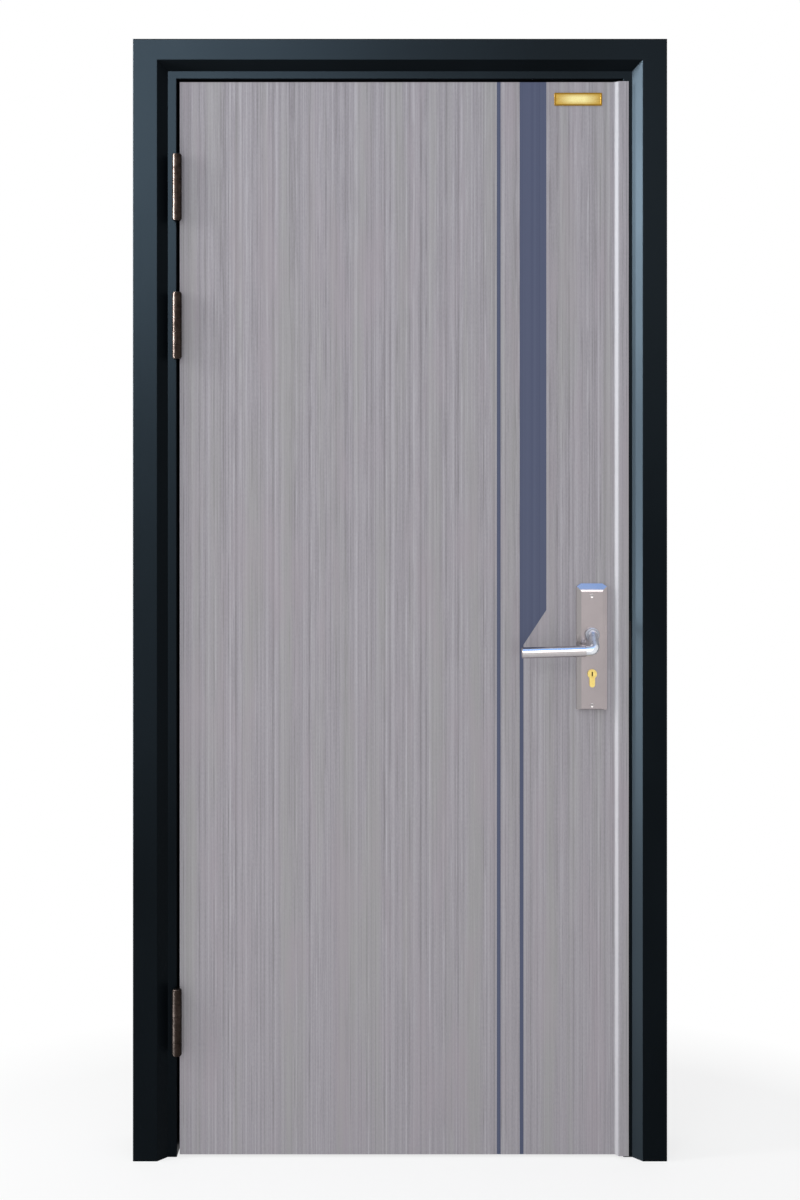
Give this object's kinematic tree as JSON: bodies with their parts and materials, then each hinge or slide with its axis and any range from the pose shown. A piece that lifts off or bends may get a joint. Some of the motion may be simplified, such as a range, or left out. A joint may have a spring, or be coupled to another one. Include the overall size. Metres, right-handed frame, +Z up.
{
  "type": "steel door",
  "caption": "Steel door leaf hung on butt hinges in a folded three-sided frame, with a lever handle set, a key cylinder and two inlaid stripes.",
  "frame": {"origin": "wall face of the hinge jamb's front lip, at floor level", "axes": "+X from the hinge side to the lock side, +Y into the wall away from the viewer, +Z up"},
  "size_m": [0.976, 0.182, 2.05],
  "materials": {
    "frame_paint": "satin dark blue-grey paint",
    "leaf_finish": "grey straight-grain wood-effect coating",
    "stripe_finish": "matt slate blue",
    "hinge_bronze": "dark bronze plating",
    "handle_chrome": "satin plate and polished lever",
    "cylinder_brass": "polished",
    "lock_steel": "brushed",
    "strike_steel": "dark plated",
    "seal_rubber": "matt black",
    "core_board": "plain honeycomb board"
  },
  "bodies": {
    "frame": {"hinge_jamb": "frame_paint", "lock_jamb": "frame_paint", "head_jamb": "frame_paint", "hinge_side_seal": "seal_rubber", "lock_side_seal": "seal_rubber", "head_seal": "seal_rubber", "strike_plate": "strike_steel", "top_hinge_frame_plate": "hinge_bronze", "middle_hinge_frame_plate": "hinge_bronze", "bottom_hinge_frame_plate": "hinge_bronze", "top_hinge_pin": "hinge_bronze", "middle_hinge_pin": "hinge_bronze", "bottom_hinge_pin": "hinge_bronze"},
    "leaf": {"leaf_front_skin": "leaf_finish", "leaf_back_skin": "leaf_finish", "leaf_lock_lip": "leaf_finish", "leaf_top_channel": "leaf_finish", "leaf_bottom_channel": "leaf_finish", "leaf_core": "core_board", "narrow_stripe": "stripe_finish", "wide_stripe": "stripe_finish", "lock_case": "lock_steel", "lock_forend": "lock_steel", "latch_bolt": "lock_steel", "dead_bolt": "lock_steel", "outside_handle_plate": "handle_chrome", "inside_handle_plate": "handle_chrome", "lock_cylinder": "cylinder_brass", "inside_key_plug": "cylinder_brass", "top_hinge_door_plate": "hinge_bronze", "middle_hinge_door_plate": "hinge_bronze", "bottom_hinge_door_plate": "hinge_bronze"},
    "lever": {"outside_lever_neck": "handle_chrome", "outside_lever_grip": "handle_chrome", "inside_lever_neck": "handle_chrome", "inside_lever_grip": "handle_chrome", "lever_spindle": "lock_steel"},
    "key_plug": {"key_plug": "cylinder_brass"}
  },
  "joints": [
    {"name": "leaf_swing", "type": "hinge", "parent": "frame", "child": "leaf", "pos_m": [0.0798, -0.003, 1], "axis": [0, 0, -1], "range_deg": [0, 150]},
    {"name": "lever_turn", "type": "hinge", "parent": "leaf", "child": "lever", "pos_m": [0.8397, 0.032, 0.961], "axis": [0, -1, 0], "range_deg": [0, 40], "stiffness_Nm_per_rad": 1.6, "springref_deg": -51.57},
    {"name": "key_plug_turn", "type": "hinge", "parent": "leaf", "child": "key_plug", "pos_m": [0.8397, -0.005, 0.889], "axis": [0, 1, 0], "continuous": true}
  ]
}
